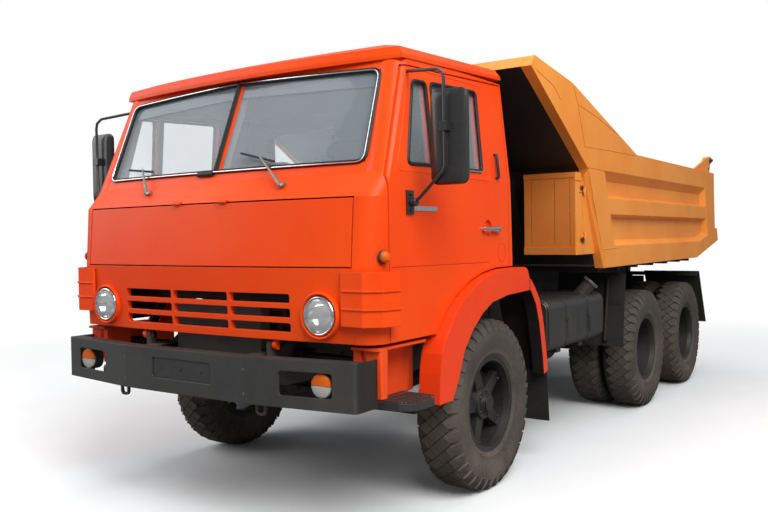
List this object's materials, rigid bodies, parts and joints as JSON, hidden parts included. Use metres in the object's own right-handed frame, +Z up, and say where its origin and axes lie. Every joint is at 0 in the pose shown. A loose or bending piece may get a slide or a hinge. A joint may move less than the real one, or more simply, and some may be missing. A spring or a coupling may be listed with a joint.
{
  "type": "dump truck",
  "caption": "Cab-over tipping truck with tilting cab, steered front wheels, twin-wheel rear bogie and a rear-tipping steel bed raised by a telescopic hoist.",
  "frame": {"origin": "centre of the footprint, on the ground", "axes": "+X to the truck's left, +Y rearwards (the cab faces -Y), +Z up"},
  "size_m": [2.912, 6.7, 2.632],
  "materials": {
    "cab_paint": "orange-red enamel, satin, weathered",
    "bed_paint": "ochre-orange enamel, satin, scuffed",
    "chassis_paint": "dark grey-black paint, satin",
    "wheel_paint": "dark grey paint on cast and pressed steel",
    "engine_paint": "grey-painted castings",
    "steel": "ground steel tube",
    "tyre": "dusty black rubber",
    "rubber": "black sheet rubber and steel",
    "black_plastic": "matte black",
    "trim_black": "black painted rod and sheet",
    "glass": "lightly tinted",
    "lamp_glass": "clear lenses",
    "signal_lens": "amber lenses",
    "seat_cloth": "dark cloth"
  },
  "bodies": {
    "chassis": {"chassis_frame": "chassis_paint", "engine": "engine_paint", "bumper": "chassis_paint", "front_axle": "chassis_paint", "leaf_springs": "chassis_paint", "driveline": "chassis_paint", "fuel_tank": "chassis_paint", "battery_box": "chassis_paint", "air_tanks": "chassis_paint", "exhaust": "chassis_paint", "air_intake": "chassis_paint", "spare_wheel": "tyre", "spare_carrier": "chassis_paint", "mudguards": "chassis_paint", "fender_tails": "cab_paint", "steps": "cab_paint", "step_plates": "chassis_paint", "chassis_lamps": "signal_lens"},
    "cab": {"cab_shell": "cab_paint", "front_panel": "cab_paint", "cab_glass": "glass", "corner_deflectors": "cab_paint", "fenders": "cab_paint", "cab_lamps": "lamp_glass", "seats": "seat_cloth", "dashboard": "black_plastic", "wipers": "trim_black"},
    "hood": {"hood_panel": "cab_paint"},
    "bed": {"bed_sides": "bed_paint", "bed_floor": "bed_paint", "bed_front": "bed_paint", "toolboxes": "bed_paint"},
    "tailgate": {"tailgate": "bed_paint"},
    "hoist_barrel": {"hoist_barrel": "chassis_paint"},
    "hoist_stage_1": {"hoist_stage_1": "steel"},
    "hoist_stage_2": {"hoist_stage_2": "steel"},
    "door_left": {"door_left": "cab_paint", "door_glass_left": "glass", "door_fittings_left": "trim_black"},
    "knuckle_left": {"knuckle_left": "chassis_paint"},
    "front_wheel_left": {"front_tyre_left": "tyre", "front_hub_left": "wheel_paint"},
    "toolbox_lid_left": {"toolbox_lid_left": "bed_paint"},
    "rear_wheels_left_1": {"rear_tyres_left_1": "tyre", "rear_wheel_left_1": "wheel_paint"},
    "rear_wheels_left_2": {"rear_tyres_left_2": "tyre", "rear_wheel_left_2": "wheel_paint"},
    "door_right": {"door_right": "cab_paint", "door_glass_right": "glass", "door_fittings_right": "trim_black"},
    "knuckle_right": {"knuckle_right": "chassis_paint"},
    "front_wheel_right": {"front_tyre_right": "tyre", "front_hub_right": "wheel_paint"},
    "toolbox_lid_right": {"toolbox_lid_right": "bed_paint"},
    "rear_wheels_right_1": {"rear_tyres_right_1": "tyre", "rear_wheel_right_1": "wheel_paint"},
    "rear_wheels_right_2": {"rear_tyres_right_2": "tyre", "rear_wheel_right_2": "wheel_paint"}
  },
  "joints": [
    {"name": "cab_tilt", "type": "hinge", "parent": "chassis", "child": "cab", "pos_m": [0, -3.146, 0.97], "axis": [1, 0, 0], "range_deg": [0, 60]},
    {"name": "hood_lift", "type": "hinge", "parent": "cab", "child": "hood", "pos_m": [0, -3.201, 1.716], "axis": [-1, 0, 0], "range_deg": [0, 75]},
    {"name": "bed_tip", "type": "hinge", "parent": "chassis", "child": "bed", "pos_m": [0, 2.794, 1.1], "axis": [-1, 0, 0], "range_deg": [0, 60]},
    {"name": "tailgate_swing", "type": "hinge", "parent": "bed", "child": "tailgate", "pos_m": [0, 3.19, 2.31], "axis": [1, 0, 0], "range_deg": [0, 55]},
    {"name": "hoist_swing", "type": "hinge", "parent": "chassis", "child": "hoist_barrel", "pos_m": [0, -0.7, 0.8], "axis": [1, 0, 0], "range_deg": [0, 18.6]},
    {"name": "hoist_slide_1", "type": "slide", "parent": "hoist_barrel", "child": "hoist_stage_1", "axis": [0, 0.9824, 0.1869], "range_m": [0, 0.592]},
    {"name": "hoist_slide_2", "type": "slide", "parent": "hoist_stage_1", "child": "hoist_stage_2", "axis": [0, 0.9824, 0.1869], "range_m": [0, 0.592]},
    {"name": "door_left_swing", "type": "hinge", "parent": "cab", "child": "door_left", "pos_m": [1.13, -3.016, 1.7], "axis": [0, 0, -1], "range_deg": [0, 70]},
    {"name": "toolbox_lid_left_swing", "type": "hinge", "parent": "bed", "child": "toolbox_lid_left", "pos_m": [1.215, -0.64, 1.665], "axis": [0, 0, 1], "range_deg": [0, 95]},
    {"name": "steer_left", "type": "hinge", "parent": "chassis", "child": "knuckle_left", "pos_m": [0.82, -1.926, 0.509], "axis": [0, 0, 1], "range_deg": [-34, 34]},
    {"name": "front_wheel_left_spin", "type": "hinge", "parent": "knuckle_left", "child": "front_wheel_left", "pos_m": [1.007, -1.926, 0.509], "axis": [1, 0, 0], "continuous": true},
    {"name": "rear_wheels_left_1_spin", "type": "hinge", "parent": "chassis", "child": "rear_wheels_left_1", "pos_m": [0.9225, 0.914, 0.509], "axis": [1, 0, 0], "continuous": true},
    {"name": "rear_wheels_left_2_spin", "type": "hinge", "parent": "chassis", "child": "rear_wheels_left_2", "pos_m": [0.9225, 2.234, 0.509], "axis": [1, 0, 0], "continuous": true},
    {"name": "door_right_swing", "type": "hinge", "parent": "cab", "child": "door_right", "pos_m": [-1.13, -3.016, 1.7], "axis": [0, 0, 1], "range_deg": [0, 70]},
    {"name": "toolbox_lid_right_swing", "type": "hinge", "parent": "bed", "child": "toolbox_lid_right", "pos_m": [-1.215, -0.64, 1.665], "axis": [0, 0, -1], "range_deg": [0, 95]},
    {"name": "steer_right", "type": "hinge", "parent": "chassis", "child": "knuckle_right", "pos_m": [-0.82, -1.926, 0.509], "axis": [0, 0, 1], "range_deg": [-34, 34]},
    {"name": "front_wheel_right_spin", "type": "hinge", "parent": "knuckle_right", "child": "front_wheel_right", "pos_m": [-1.007, -1.926, 0.509], "axis": [1, 0, 0], "continuous": true},
    {"name": "rear_wheels_right_1_spin", "type": "hinge", "parent": "chassis", "child": "rear_wheels_right_1", "pos_m": [-0.9225, 0.914, 0.509], "axis": [1, 0, 0], "continuous": true},
    {"name": "rear_wheels_right_2_spin", "type": "hinge", "parent": "chassis", "child": "rear_wheels_right_2", "pos_m": [-0.9225, 2.234, 0.509], "axis": [1, 0, 0], "continuous": true}
  ],
  "couplings": [
    {"joint": "steer_right", "follows": "steer_left", "ratio": 1},
    {"joint": "hoist_swing", "follows": "bed_tip", "ratio": 0.30785},
    {"joint": "hoist_slide_1", "follows": "bed_tip", "m_per_rad": 0.56313},
    {"joint": "hoist_slide_2", "follows": "bed_tip", "m_per_rad": 0.56313}
  ]
}
